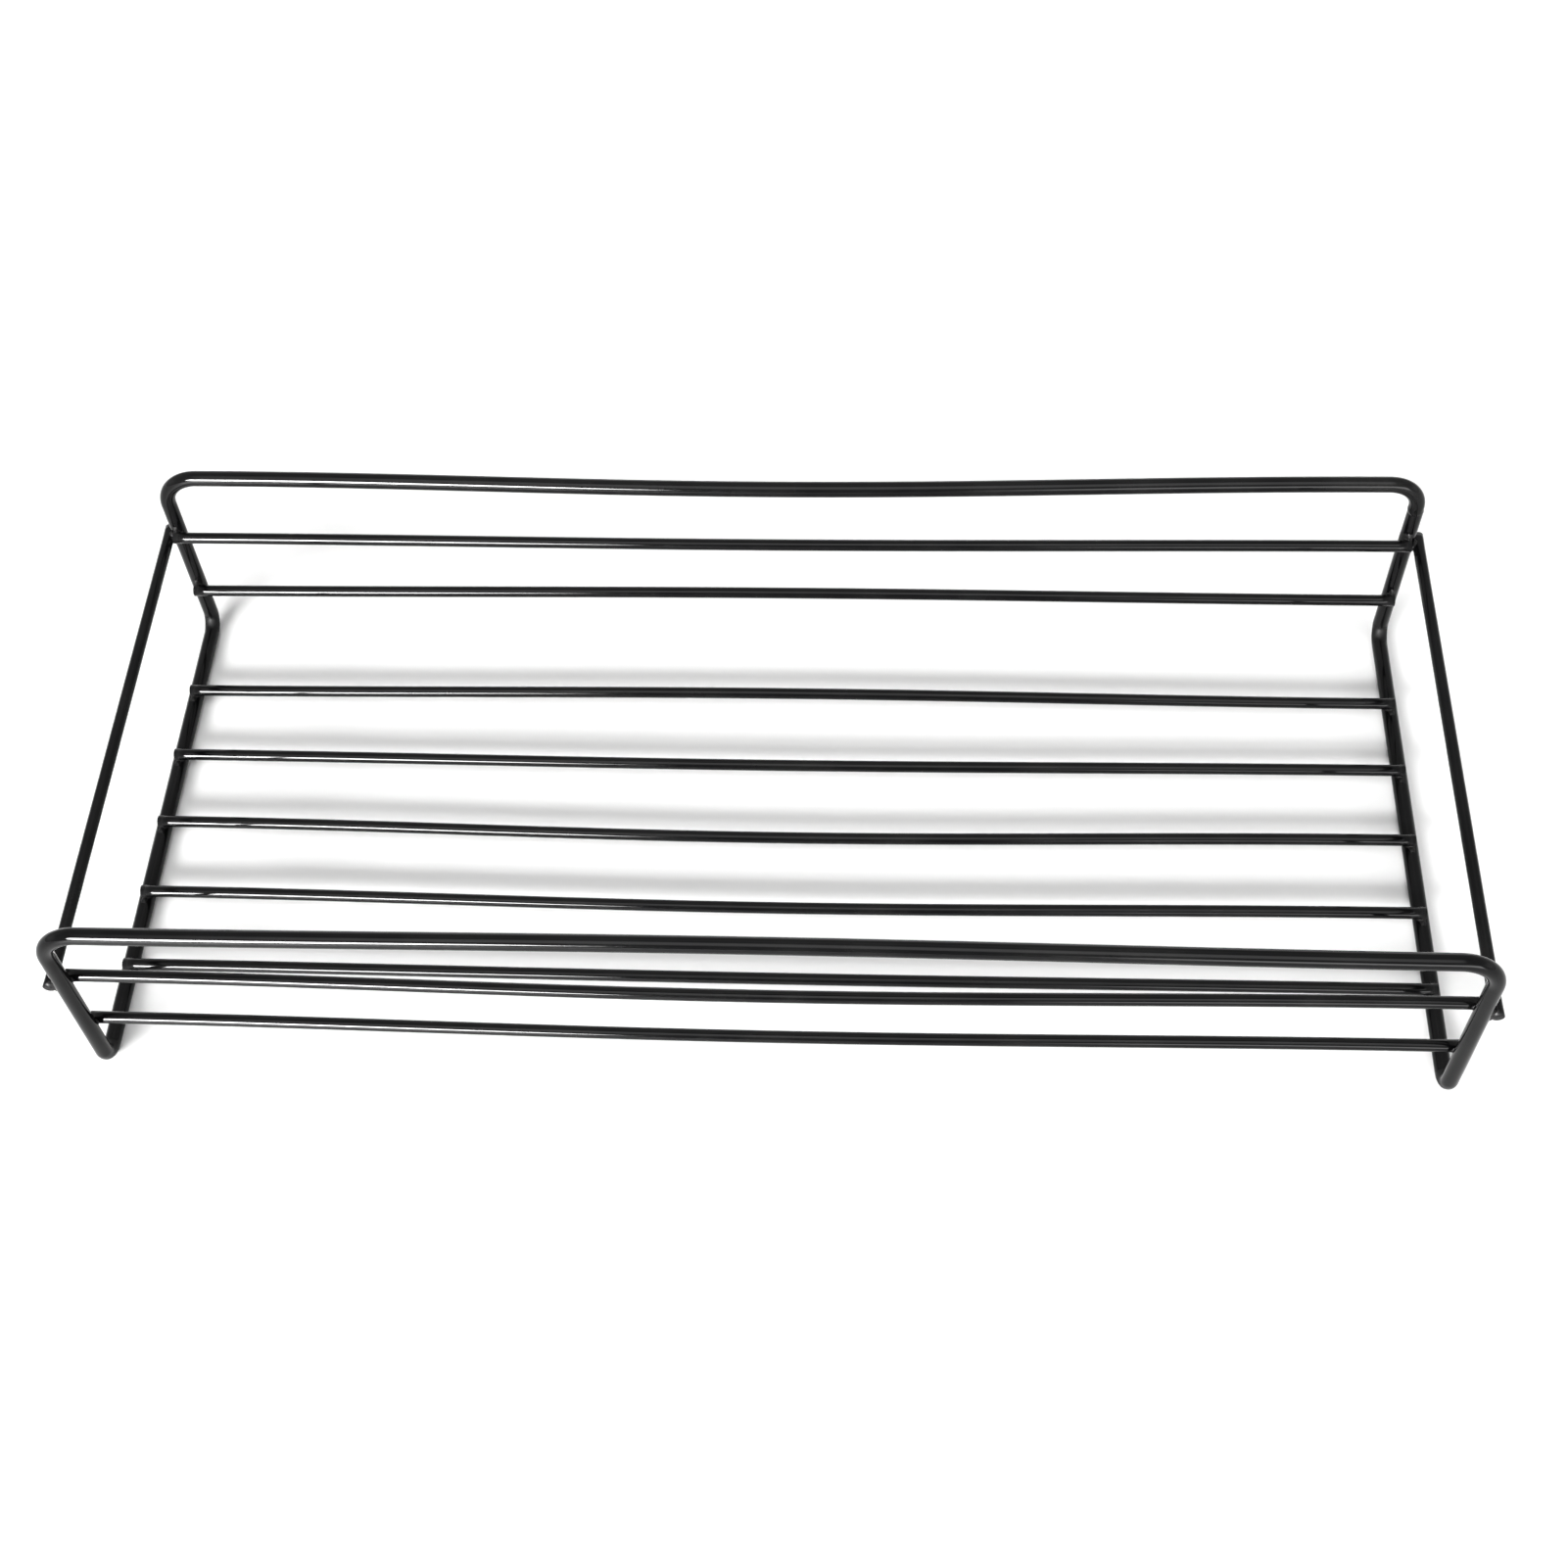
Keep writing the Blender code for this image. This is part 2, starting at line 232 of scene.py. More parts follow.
coats = {
    # gloss, dull, dustRough and workedRough are roughnesses: clear, clouded, under dust, and over
    # the tight bends and cut ends
    "loopCoat": {
        "mottleScale": 55.0, "deep": (0.0012, 0.0012, 0.0014), "pale": (0.0030, 0.0030, 0.0031),
        "gloss": 0.045, "dull": 0.085, "workedRough": 0.60,
        "peelScale": 620.0, "peel": 0.25, "nibScale": 75.0, "nib": 0.5, "bump": 0.00006,
        "dustScale": 30.0, "dustCover": 0.34, "dust": (0.009, 0.0088, 0.0085), "dustRough": 0.09,
    },
    "wireCoat": {
        "mottleScale": 70.0, "deep": (0.0011, 0.0011, 0.0013), "pale": (0.0028, 0.0028, 0.0029),
        "gloss": 0.04, "dull": 0.08, "workedRough": 0.42,
        "peelScale": 800.0, "peel": 0.22, "nibScale": 85.0, "nib": 0.6, "bump": 0.00005,
        "dustScale": 38.0, "dustCover": 0.33, "dust": (0.008, 0.0078, 0.0075), "dustRough": 0.085,
    },
    "weldCoat": {
        "mottleScale": 180.0, "deep": (0.0016, 0.0016, 0.0018), "pale": (0.0038, 0.0037, 0.0036),
        "gloss": 0.38, "dull": 0.50, "workedRough": 0.60,
        "peelScale": 1300.0, "peel": 0.9, "nibScale": 240.0, "nib": 0.6, "bump": 0.00010,
        "dustScale": 120.0, "dustCover": 0.40, "dust": (0.014, 0.0135, 0.013), "dustRough": 0.52,
    },
}
coatIor = 1.2           # low, so that the black stays deep beside its bright streaks
bumpStrength = 0.2


def placeGroup(tree, group, place, values):
    node = addNode(tree, "ShaderNodeGroup", place, node_tree=group)
    for label, value in values.items():
        node.inputs[label].default_value = value
    return node


def makeCoat(name):
    coat = coats[name]
    material = bpy.data.materials.new(name)
    material.use_nodes = True
    tree = material.node_tree
    shader = tree.nodes["Principled BSDF"]
    shader.inputs["IOR"].default_value = coatIor
    clouds = placeGroup(tree, coatMottle, (-900, 250), {
        "Scale": coat["mottleScale"], "Deep": (*coat["deep"], 1), "Pale": (*coat["pale"], 1),
        "Gloss": coat["gloss"], "Dull": coat["dull"],
    })
    film = placeGroup(tree, handling, (-900, -50), {
        "Scale": coat["dustScale"], "Cover": coat["dustCover"],
    }).outputs["Mask"]
    relief = placeGroup(tree, coatSkin, (-900, -300), {
        "Peel scale": coat["peelScale"], "Peel": coat["peel"],
        "Nib scale": coat["nibScale"], "Nib": coat["nib"],
    })
    feed(tree, shader.inputs["Base Color"],
         mixNode(tree, "RGBA", (-500, 250), film, clouds.outputs["Colour"], (*coat["dust"], 1)))
    roughness = mixNode(tree, "FLOAT", (-500, 0), film, clouds.outputs["Roughness"], coat["dustRough"])
    # the coating lies thick and duller over the tight bends and the cut ends
    worked = addNode(tree, "ShaderNodeAttribute", (-500, 500), attribute_name="worked").outputs["Fac"]
    feed(tree, shader.inputs["Roughness"],
         mixNode(tree, "FLOAT", (-250, 0), worked, roughness, coat["workedRough"]))
    bump = addNode(tree, "ShaderNodeBump", (-500, -300))
    bump.inputs["Strength"].default_value = bumpStrength
    bump.inputs["Distance"].default_value = coat["bump"]
    feed(tree, bump.inputs["Height"], relief.outputs["Height"])
    feed(tree, shader.inputs["Normal"], bump.outputs["Normal"])
    return material


loopCoat = makeCoat("loopCoat")
wireCoat = makeCoat("wireCoat")
weldCoat = makeCoat("weldCoat")
print("coats made")


# Wires

def unit(vector):
    return vector / np.linalg.norm(vector)


def outward(mesh):
    work = bmesh.new()
    work.from_mesh(mesh)
    bmesh.ops.recalc_face_normals(work, faces=work.faces)
    work.to_mesh(mesh)
    work.free()
    mesh.shade_smooth()
    return mesh


def sweep(name, path, radii, worked, sides, closed):
    # rings round a path, turned as little as possible from one to the next
    count = len(path)
    if closed:
        tangents = np.roll(path, -1, 0) - np.roll(path, 1, 0)
    else:
        tangents = np.gradient(path, axis=0)
    tangents /= np.linalg.norm(tangents, axis=1)[:, None]
    side = unit(np.cross(tangents[0], up))      # no path here starts upright
    normals = [side]
    for tangent in tangents[1:]:
        side = unit(side - tangent * (side @ tangent))
        normals.append(side)
    turn = 0.0
    if closed:     # share out the twist that is left where the run closes
        last = unit(normals[-1] - tangents[0] * (normals[-1] @ tangents[0]))
        turn = math.atan2(np.cross(last, normals[0]) @ tangents[0], last @ normals[0])
    angles = np.linspace(0, 2 * math.pi, sides, endpoint=False)
    points = []
    for number, (centre, tangent, normal, radius) in enumerate(zip(path, tangents, normals, radii)):
        across = np.cross(tangent, normal)
        twisted = angles + turn * number / count
        ring = np.outer(np.cos(twisted), normal) + np.outer(np.sin(twisted), across)
        points.append(centre + radius * ring)
    points = np.concatenate(points)
    shares = np.repeat(worked, sides)
    faces = []
    for number in range(count if closed else count - 1):
        here, there = number * sides, (number + 1) % count * sides
        for corner in range(sides):
            following = (corner + 1) % sides
            faces.append((here + corner, here + following, there + following, there + corner))
    if not closed:     # the last rings are tiny, so a fan closes each dome
        tips = len(points)
        points = np.vstack((points, path[0], path[-1]))
        shares = np.append(shares, (worked[0], worked[-1]))
        far = (count - 1) * sides
        for corner in range(sides):
            following = (corner + 1) % sides
            faces.append((tips, following, corner))
            faces.append((tips + 1, far + corner, far + following))
    mesh = bpy.data.meshes.new(name)
    mesh.from_pydata([tuple(point) for point in points], [], faces)
    attribute = mesh.attributes.new("worked", "FLOAT", "POINT")
    attribute.data.foreach_set("value", shares.astype(np.float32))
    mesh.validate()
    return outward(mesh)


def place(name, mesh, material, slot, *nodes):
    mesh.materials.append(material)
    piece = bpy.data.objects.new(name, mesh)
    wireShelf.objects.link(piece)
    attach(piece, "root")
    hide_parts(*nodes)


def quarter(centre, start, finish, radius, steps):
    turns = np.linspace(0, math.pi / 2, steps + 1)[:, None]
    return centre + radius * (np.cos(turns) * start + np.sin(turns) * finish)


def straight(start, finish, steps):
    return start + (finish - start) * np.linspace(0, 1, steps + 1)[:, None]


def bowed(start, finish, bow, steps):
    # a run whose middle lies bow nearer the front, and whose ends leave straight
    along = np.linspace(0, 1, steps + 1)[:, None]
    return start + (finish - start) * along - back * bow * (1 - np.cos(2 * math.pi * along)) / 2


loop = {
    "cornerRadius": 0.0120, "seamCornerRadius": 0.0098, "footRadius": 0.0060,
    "backRailBow": 0.0034, "frontRailBow": -0.0010,
    "cornerSteps": 28, "footSteps": 24, "uprightSteps": 30, "railSteps": 90, "floorSteps": 60,
    "sides": 48,
    "workedLength": 0.0036, "workedPlace": 0.29,      # share of the foot's radius, to the bend's middle
}
seam = {      # the butt weld on the right back upright
    "belowCorner": 0.0013, "near": 0.004,
    "shift": 0.00019, "shiftWay": right * 0.8 + back * 0.6,      # how far out of line, and which way
    "shiftLength": 0.00045, "fade": 0.009,
    "bead": 0.00004, "beadLength": 0.0008,
    "fineBelow": 0.004, "fineShort": 0.0001, "fineSteps": 46,    # the closely stepped run round it
    "plainBelow": 0.0042,
}


def lipSide(side, facing, y, corner=loop["cornerRadius"]):
    # one end of a lip, from the floor rail up to the top rail: foot, upright, corner
    foot = loop["footRadius"]
    out = right * side
    bend = quarter(out * halfWidth + back * y - facing * foot + up * (railZ + foot),
                   -up, facing, foot, loop["footSteps"])
    top = quarter(out * (halfWidth - corner) + back * y + up * (topZ - corner),
                  out, up, corner, loop["cornerSteps"])
    return bend, straight(bend[-1], top[0], loop["uprightSteps"])[1:-1], top


def loopPath():
    leftFoot, leftUpright, leftTop = lipSide(-1, -back, frontY)
    rightFoot, rightUpright, rightTop = lipSide(1, -back, frontY)
    seamCorner = loop["seamCornerRadius"]
    backRightFoot, backRightUpright, backRightTop = lipSide(1, back, backY, seamCorner)
    backLeftFoot, backLeftUpright, backLeftTop = lipSide(-1, back, backY)
    frontRail = bowed(leftTop[-1], rightTop[-1], loop["frontRailBow"], loop["railSteps"])[1:-1]
    backRail = bowed(backRightTop[-1], backLeftTop[-1], loop["backRailBow"], loop["railSteps"])[1:-1]
    rightRail = straight(rightFoot[0], backRightFoot[0], loop["floorSteps"])[1:-1]
    leftRail = straight(backLeftFoot[0], leftFoot[0], loop["floorSteps"])[1:-1]

    # the seam's upright is stepped finely round the weld
    seamZ = topZ - seamCorner - seam["belowCorner"]
    plain = backRightUpright[backRightUpright[:, 2] < seamZ - seam["plainBelow"]]
    steps = np.linspace(-seam["fineBelow"], seam["belowCorner"] - seam["fineShort"], seam["fineSteps"])
    fine = right * halfWidth + back * backY + np.outer(seamZ + steps, up)
    path = np.concatenate((
        leftFoot, leftUpright, leftTop, frontRail, rightTop[::-1], rightUpright[::-1], rightFoot[::-1],
        rightRail, backRightFoot, plain, fine, backRightTop, backRail,
        backLeftTop[::-1], backLeftUpright[::-1], backLeftFoot[::-1], leftRail,
    ))

    # its two ends meet a hair out of line, with a low bead of flash between
    nearSeam = (path[:, 0] > halfWidth - seamCorner) & (path[:, 1] > backY - seam["near"])
    aboveFoot = path[:, 2] > railZ + loop["footRadius"]
    rise = path[:, 2] - seamZ
    fade = np.exp(-np.abs(rise) / seam["fade"]) * nearSeam * aboveFoot
    path = path + np.outer(-np.tanh(rise / seam["shiftLength"]) * seam["shift"] * fade, seam["shiftWay"])
    radii = shelf["thick"] + nearSeam * seam["bead"] * np.exp(-(rise / seam["beadLength"]) ** 2)

    worked = np.zeros(len(path))
    inset = loop["footRadius"] * loop["workedPlace"]
    for side in (-1, 1):
        for y, facing in ((frontY, -1), (backY, 1)):
            bend = np.array((side * halfWidth, y - facing * inset, railZ + inset))
            worked += np.exp(-(np.linalg.norm(path - bend, axis=1) / loop["workedLength"]) ** 2)
    return path, radii, worked


loopMesh = sweep("loopWire", *loopPath(), loop["sides"], closed=True)
place("loopWire", loopMesh, loopCoat, "loop_coat", "frame_loop")
print("loop wire swept:", len(loopMesh.vertices), "points")

thinWire = {
    "steps": 96, "sides": 36,
    "domeLength": 0.00075, "square": 2.6,       # the coating rounds each cut end
    "domeSteps": 9, "domeFrom": 0.06, "domeClear": 1.2,
    "swell": 0.00006, "swellLength": 0.0022,    # and gathers a little just before it
    "workedLength": 0.0008,
}


def thinRun(name, start, finish, bow=0.0, dome=thinWire["domeLength"], square=thinWire["square"]):
    run = bowed(start, finish, bow, thinWire["steps"])
    heading = (finish - start) / np.linalg.norm(finish - start)
    clear = dome * thinWire["domeClear"]
    body = run[(np.linalg.norm(run - start, axis=1) > clear)
               & (np.linalg.norm(run - finish, axis=1) > clear)]
    turns = np.linspace(thinWire["domeFrom"], math.pi / 2, thinWire["domeSteps"])
    depths = dome * (1 - np.sin(turns))
    near = start + np.outer(depths, heading)
    far = finish - np.outer(depths[::-1], heading)
    cap = 1 - (1 - np.sin(turns)) ** square
    shares = np.concatenate((cap, np.ones(len(body)), cap[::-1]))
    path = np.concatenate((near, body, far))
    fromEnd = np.minimum(np.linalg.norm(path - start, axis=1), np.linalg.norm(path - finish, axis=1))
    swell = thinWire["swell"] * np.exp(-((fromEnd - dome) / thinWire["swellLength"]) ** 2)
    worked = np.exp(-(fromEnd / thinWire["workedLength"]) ** 2)
    return sweep(name, path, (shelf["thin"] + swell) * shares, worked, thinWire["sides"], closed=False)


crossEnd = halfWidth + shelf["thick"] - shelf["endShort"]
floorWires = {
    "first": 0.0309, "last": 0.0335,                 # from the front and the back uprights
    "bows": (0.000675, 0.00216, 0.0027, 0.001215, -0.001485),
}
lipWires = {
    "back_wire_upper": {"name": "backWireUpper", "facing": 1, "height": 0.0480, "bow": 0.00125},
    "back_wire_lower": {"name": "backWireLower", "facing": 1, "height": 0.0214, "bow": -0.00105},
    "front_wire_upper": {"name": "frontWireUpper", "facing": -1, "height": 0.0433, "bow": 0.0024},
    "front_wire_lower": {"name": "frontWireLower", "facing": -1, "height": 0.0185, "bow": 0.0018},
}
sideWires = {
    "height": 0.0441, "backPast": 0.0014,
    "domeLength": 0.0013, "square": 2.0,             # their ends are free of welds, and rounder
}
crossings = []      # weld node, crossing on the loop's centre line, inwards, out to the thin wire, kind


def crossWire(name, node, onLoop, normal, bow):
    reach = right * crossEnd
    centre = onLoop + normal * crossOffset
    mesh = thinRun(name, centre - reach, centre + reach, bow)
    place(name, mesh, wireCoat, "wire_coat", node)
    for side, sideName in leftRight:
        weldNode = "weld_" + node.replace("_wire", "") + "_" + sideName
        crossings.append((weldNode, onLoop + right * side * halfWidth, -right * side, normal, "cross"))


def sideWire(side, sideName):
    name = "sideWire" + sideName.title()
    out = right * side
    onLoop = out * halfWidth + up * (railZ + sideWires["height"])
    line = out * (halfWidth + sideOffset) + up * (railZ + sideWires["height"])
    start = line + back * (frontY - shelf["thick"] + shelf["endShort"])
    finish = line + back * (backY + shelf["thick"] + sideWires["backPast"])
    mesh = thinRun(name, start, finish, dome=sideWires["domeLength"], square=sideWires["square"])
    place(name, mesh, wireCoat, "wire_coat", "side_wire_" + sideName)
    for y, facing, endName in ((frontY, -back, "front"), (backY, back, "back")):
        crossings.append((f"weld_side_{sideName}_{endName}", onLoop + back * y, -facing, out, "side"))


floorYs = np.linspace(frontY + floorWires["first"], backY - floorWires["last"], len(floorWires["bows"]))
for number, (y, bow) in enumerate(zip(floorYs, floorWires["bows"]), start=1):
    crossWire(f"floorWire{number}", f"floor_wire_{number}", back * y + up * railZ, up, bow)
for node, wire in lipWires.items():
    facing = back * wire["facing"]
    onLoop = back * (backY if wire["facing"] > 0 else frontY) + up * (railZ + wire["height"])
    crossWire(wire["name"], node, onLoop, -facing, wire["bow"])
for side, sideName in leftRight:
    sideWire(side, sideName)
print("thin wires swept")


# Welds: the coating fills the valley round each crossing, over a little squeezed-out metal

weld = {
    "cross": {      # nubs of squeezed-out metal: X, Y, Z and radius
        "offset": crossOffset, "fillet": 0.0009,
        "nubs": ((0.0, -0.0023, 0.00235, 0.00055), (0.0, 0.0023, 0.00235, 0.00050)),
    },
    "side": {
        "offset": sideOffset, "fillet": 0.0013,
        "nubs": ((0.0, -0.0018, 0.0027, 0.00065), (0.0, 0.0018, 0.0027, 0.00065)),
    },
    "wireEnd": shelf["thick"] - shelf["endShort"], "endRound": 0.0006,
    "nubFillet": 0.0007, "reach": 0.0041, "inset": 0.00002,
    "finish": 5, "strides": 90, "halvings": 18,
}


def softUnion(first, second, blend):
    near = np.maximum(blend - np.abs(first - second), 0) / blend
    return np.minimum(first, second) - near * near * blend / 4


def crossingField(points, kind):
    # distance outside the two wires and the nubs, run together by the coating.
    # X runs inwards along the thin wire, Y along the thick one, Z out to the thin one
    x, y, z = points.T
    edge = weld["endRound"]
    thick = np.hypot(x, z) - shelf["thick"]
    across = np.hypot(y, z - kind["offset"])
    beyond = -x - weld["wireEnd"]
    rounded = np.hypot(np.maximum(across - shelf["thin"] + edge, 0), np.maximum(beyond + edge, 0)) - edge
    thin = np.where(beyond > -edge, rounded, across - shelf["thin"])
    field = softUnion(thick, thin, kind["fillet"])
    for *nubPlace, radius in kind["nubs"]:
        nub = np.linalg.norm(points - np.array(nubPlace), axis=1) - radius
        field = softUnion(field, nub, weld["nubFillet"])
    return field


def weldMesh(name, kind):
    ball = bmesh.new()
    bmesh.ops.create_icosphere(ball, subdivisions=weld["finish"], radius=1)
    ways = np.array([vert.co.normalized() for vert in ball.verts])
    centre = np.array((0.0, 0.0, (shelf["thick"] + kind["offset"] - shelf["thin"]) / 2))

    def isOutside(distances):
        return crossingField(centre + ways * distances, kind) + weld["inset"] > 0

    inside = np.zeros(len(ways))
    outside = np.full(len(ways), weld["reach"])
    steps = np.linspace(0, weld["reach"], weld["strides"])[1:]
    found = np.zeros(len(ways), bool)
    for step in steps:      # the first place along each way where the coating ends
        beyond = isOutside(step)
        first = beyond & ~found
        outside[first] = step
        inside[first] = step - steps[0]
        found |= beyond
    inside[~found] = weld["reach"]
    for _ in range(weld["halvings"]):
        middle = (inside + outside) / 2
        beyond = isOutside(middle[:, None])
        outside[beyond & found] = middle[beyond & found]
        inside[~beyond & found] = middle[~beyond & found]
    for vert, way, far in zip(ball.verts, ways, outside):
        vert.co = Vector(centre + way * far)
    mesh = bpy.data.meshes.new(name)
    ball.to_mesh(mesh)
    ball.free()
    return outward(mesh)


weldMeshes = {kind: weldMesh(kind + "Weld", weld[kind]) for kind in ("cross", "side")}
for node, at, inwards, normal, kind in crossings:
    turn = Matrix((inwards, np.cross(normal, inwards), normal)).transposed().to_4x4()
    mesh = weldMeshes[kind].copy()
    mesh.transform(Matrix.Translation(at) @ turn)
    first, *rest = node.split("_")
    name = first + "".join(word.title() for word in rest)
    place(name, mesh, weldCoat, "weld_coat", node)
print("welds made:", len(crossings))


# Floor, light and camera

def backgroundRays(tree, place):
    # the camera, and what shines or is clear, see the pale background. Light that spreads doesn't
    path = addNode(tree, "ShaderNodeLightPath", place).outputs
    x, y = place
    seen = mathNode(tree, "MAXIMUM", (x + 180, y), path["Is Camera Ray"], path["Is Glossy Ray"])
    return mathNode(tree, "MAXIMUM", (x + 340, y), seen, path["Is Transmission Ray"])


floorLook = {
    "size": 24.0, "below": 0.00002, "roughness": 0.5,
    "colour": (0.72, 0.72, 0.718), "seen": (0.88, 0.88, 0.877),
    "dusty": 0.985, "cloudScale": 6.0, "cloudDetail": 3.0,      # share of the colour, in faint clouds
    "whiteFrom": 0.9, "whiteAt": 3.0,      # distance from the shelf
}


def makeFloor():
    material = bpy.data.materials.new("whiteFloor")
    material.use_nodes = True
    tree = material.node_tree
    shader = tree.nodes["Principled BSDF"]
    coords = addNode(tree, "ShaderNodeTexCoord", (-1300, 0)).outputs["Object"]
    rays = backgroundRays(tree, (-1700, -400))

    def shade(place, share):
        # the floor is seen a little paler than it spreads the light
        spread, seen = [(*[part * share for part in floorLook[name]], 1) for name in ("colour", "seen")]
        return mixNode(tree, "RGBA", place, rays, spread, seen)

    cloud = noiseNode(tree, (-1000, 0), coords, floorLook["cloudScale"], floorLook["cloudDetail"])
    clean = shade((-750, 0), 1.0)
    dusty = shade((-750, -200), floorLook["dusty"])
    feed(tree, shader.inputs["Base Color"], mixNode(tree, "RGBA", (-300, 0), cloud, clean, dusty))
    shader.inputs["Roughness"].default_value = floorLook["roughness"]
    # far from the shelf it runs out to plain white, while the shadow near it stays
    away = addNode(tree, "ShaderNodeVectorMath", (-1000, -300), operation="LENGTH")
    feed(tree, away.inputs[0], coords)
    white = rangeNode(tree, (-750, -400), away.outputs["Value"],
                      floorLook["whiteFrom"], floorLook["whiteAt"], 0.0, 1.0)
    feed(tree, shader.inputs["Emission Strength"],
         mathNode(tree, "MULTIPLY", (-300, -400), rays, white))
    shader.inputs["Emission Color"].default_value = (1, 1, 1, 1)
    mesh = bpy.data.meshes.new("floor")
    half = floorLook["size"] / 2
    corners = [(-half, -half, 0), (half, -half, 0), (half, half, 0), (-half, half, 0)]
    mesh.from_pydata(corners, [], [(0, 1, 2, 3)])
    mesh.materials.append(material)
    floor = bpy.data.objects.new("floor", mesh)
    floor.location = (0, 0, -floorLook["below"])
    studio.objects.link(floor)


makeFloor()

lamps = {
    # azimuth is left (-) or right (+) of straight in front, both angles seen from the shelf.
    # soft is the share of the width and of the height over which the light fades out at each edge.
    # The key lights without showing in the wires, and the window shows there without lighting
    "key": {
        "azimuth": -28.0, "elevation": 25.6, "distance": 6.0, "width": 3.8, "height": 1.15,
        "glow": 65.0, "soft": (0.2, 0.05), "shine": False,
    },
    "window": {
        "azimuth": -22.0, "elevation": 20.6, "distance": 6.1, "width": 3.3, "height": 1.9,
        "glow": 185.0, "soft": (0.2, 0.05), "shape": "ELLIPSE", "lean": -32.0, "light": False,
    },
    "ceiling": {
        "azimuth": 0.0, "elevation": 66.0, "distance": 6.0, "width": 6.0, "height": 6.0,
        "glow": 4.5, "soft": (0.3, 0.36),
    },
    "ceilingBehind": {
        "azimuth": 180.0, "elevation": 66.0, "distance": 6.0, "width": 5.4, "height": 5.4,
        "glow": 0.6, "soft": (0.45, 0.4),
    },
    "wallBehind": {
        "azimuth": 180.0, "elevation": 11.0, "distance": 6.0, "width": 7.0, "height": 2.4,
        "glow": 3.0, "soft": (0.2, 0.4),
    },
    "leftWall": {
        "azimuth": -85.0, "elevation": 16.0, "distance": 6.0, "width": 5.0, "height": 3.0,
        "glow": 0.8, "soft": (0.2, 0.4),
    },
    "rightWall": {
        "azimuth": 85.0, "elevation": 16.0, "distance": 6.0, "width": 5.0, "height": 3.0,
        "glow": 0.8, "soft": (0.2, 0.4),
    },
    "sideWall": {
        "azimuth": 27.0, "elevation": 11.0, "distance": 6.0, "width": 5.0, "height": 3.0,
        "glow": 15.0, "soft": (0.14, 0.4),
    },
}


def makeSoftEdge():
    # walls and ceiling are lit unevenly, so their light fades out towards the edges of each lamp
    group, given, result = newGroup(
        "softEdge",
        [("Across", "NodeSocketFloat", 0.3), ("Along", "NodeSocketFloat", 0.3)],
        [("Share", "NodeSocketFloat")],
    )
    parametric = addNode(group, "ShaderNodeNewGeometry", (-1100, 0)).outputs["Parametric"]
    axes = addNode(group, "ShaderNodeSeparateXYZ", (-900, 0))
    feed(group, axes.inputs[0], parametric)
    shares = []
    for axis, reach, height in (("X", "Across", 150), ("Y", "Along", -150)):
        offCentre = mathNode(group, "SUBTRACT", (-700, height), axes.outputs[axis], 0.5)
        offCentre = mathNode(group, "ABSOLUTE", (-550, height), offCentre)
        fromEdge = mathNode(group, "SUBTRACT", (-400, height), 0.5, offCentre)
        shares.append(rangeNode(group, (-200, height), fromEdge, 0.0, given.outputs[reach], 0.0, 1.0))
    feed(group, result.inputs["Share"], mathNode(group, "MULTIPLY", (0, 0), *shares))
    return group


softEdge = makeSoftEdge()


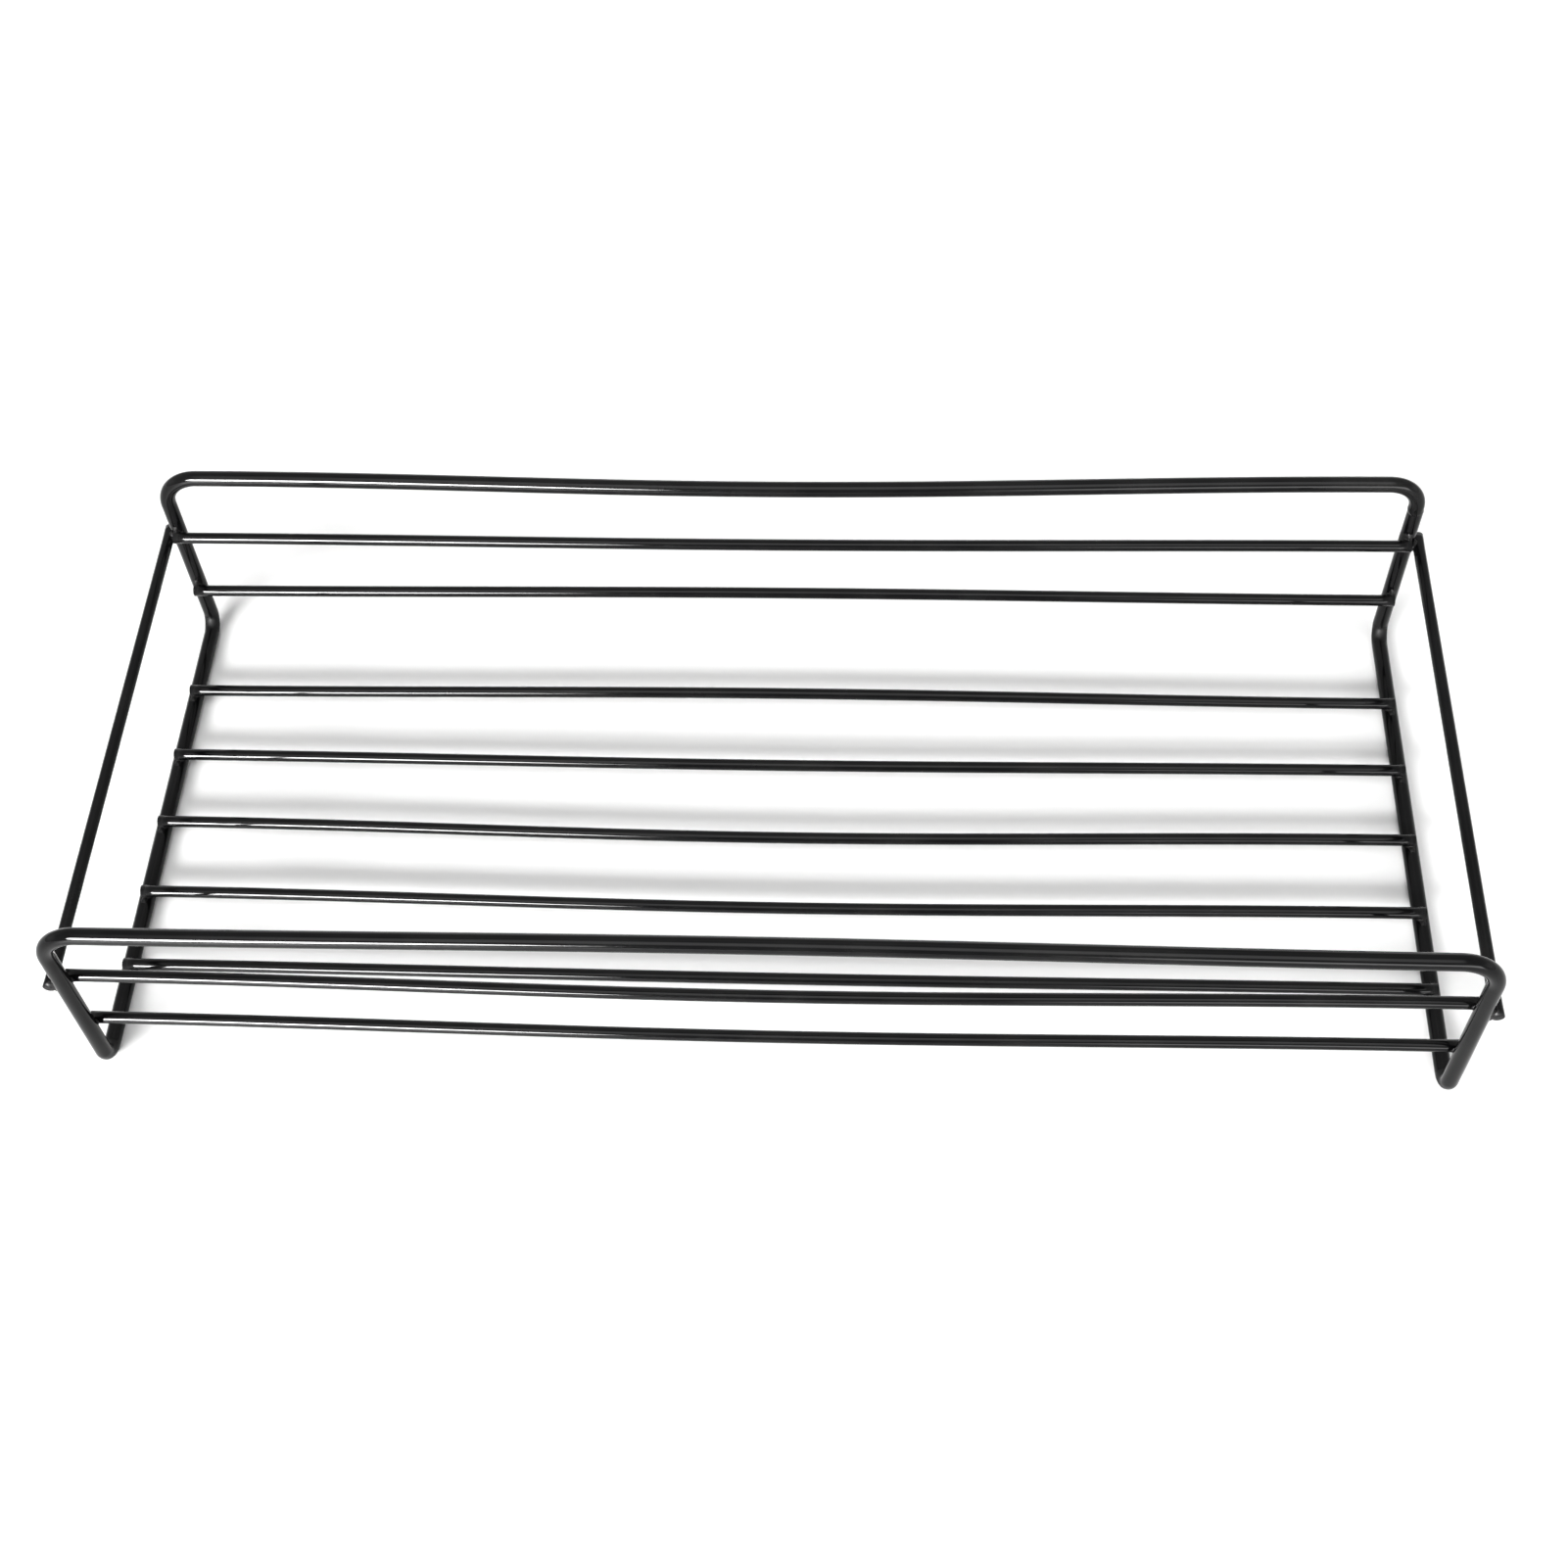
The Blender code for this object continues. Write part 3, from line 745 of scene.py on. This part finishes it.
def addLamp(name):
    lamp = lamps[name]
    light = bpy.data.lights.new(name, "AREA")
    light.shape = lamp.get("shape", "RECTANGLE")
    light.size = lamp["width"]
    light.size_y = lamp["height"]
    light.energy = lamp["glow"] * math.pi * lamp["width"] * lamp["height"]
    light.use_nodes = True
    tree = light.node_tree
    across, along = lamp["soft"]
    edge = placeGroup(tree, softEdge, (-250, 0), {"Across": across, "Along": along})
    feed(tree, tree.nodes["Emission"].inputs["Color"], edge.outputs["Share"])
    azimuth, elevation = math.radians(lamp["azimuth"]), math.radians(lamp["elevation"])
    towards = Vector((math.sin(azimuth) * math.cos(elevation),
                      -math.cos(azimuth) * math.cos(elevation),
                      math.sin(elevation)))
    piece = bpy.data.objects.new(name, light)
    piece.location = towards * lamp["distance"]
    lean = Matrix.Rotation(math.radians(lamp.get("lean", 0)), 4, "Z")
    piece.rotation_euler = (towards.to_track_quat("Z", "Y").to_matrix().to_4x4() @ lean).to_euler()
    piece.visible_camera = False
    piece.visible_glossy = lamp.get("shine", True)
    piece.visible_diffuse = lamp.get("light", True)
    studio.objects.link(piece)


for name in lamps:
    addLamp(name)

room = {"colour": (1.0, 1.0, 1.0), "strength": 0.03}      # white where it is seen, dim as a light


def lightRoom():
    world = bpy.data.worlds.new("room")
    bpy.context.scene.world = world
    world.use_nodes = True
    tree = world.node_tree
    background = tree.nodes["Background"]
    background.inputs["Color"].default_value = (*room["colour"], 1)
    strength = mathNode(tree, "MAXIMUM", (-250, 0), backgroundRays(tree, (-800, 0)), room["strength"])
    feed(tree, background.inputs["Strength"], strength)


lightRoom()

view = {
    "place": (0.0351215, -0.3862634, 0.5756479),
    "pitch": 0.9689325, "yaw": -0.1118949, "roll": 0.0773767,
    "sensor": 36.0, "lens": 49.4268, "shift": (0.022081, 0.022565), "clip": (0.01, 50),
}


def addCamera():
    pitch, yaw, roll = view["pitch"], view["yaw"], view["roll"]
    ahead = Vector((math.sin(yaw) * math.cos(pitch), math.cos(yaw) * math.cos(pitch), -math.sin(pitch)))
    level = Vector((math.cos(yaw), -math.sin(yaw), 0))
    down = ahead.cross(level)
    across = math.cos(roll) * level + math.sin(roll) * down
    below = -math.sin(roll) * level + math.cos(roll) * down
    turn = Matrix((across, -below, -ahead)).transposed().to_4x4()
    data = bpy.data.cameras.new("photoCamera")
    data.sensor_width = view["sensor"]
    data.lens = view["lens"]
    data.shift_x, data.shift_y = view["shift"]
    data.clip_start, data.clip_end = view["clip"]
    camera = bpy.data.objects.new("photoCamera", data)
    camera.matrix_world = Matrix.Translation(view["place"]) @ turn
    studio.objects.link(camera)
    bpy.context.scene.camera = camera


addCamera()
bpy.context.scene.view_settings.view_transform = "Standard"
print("studio set")
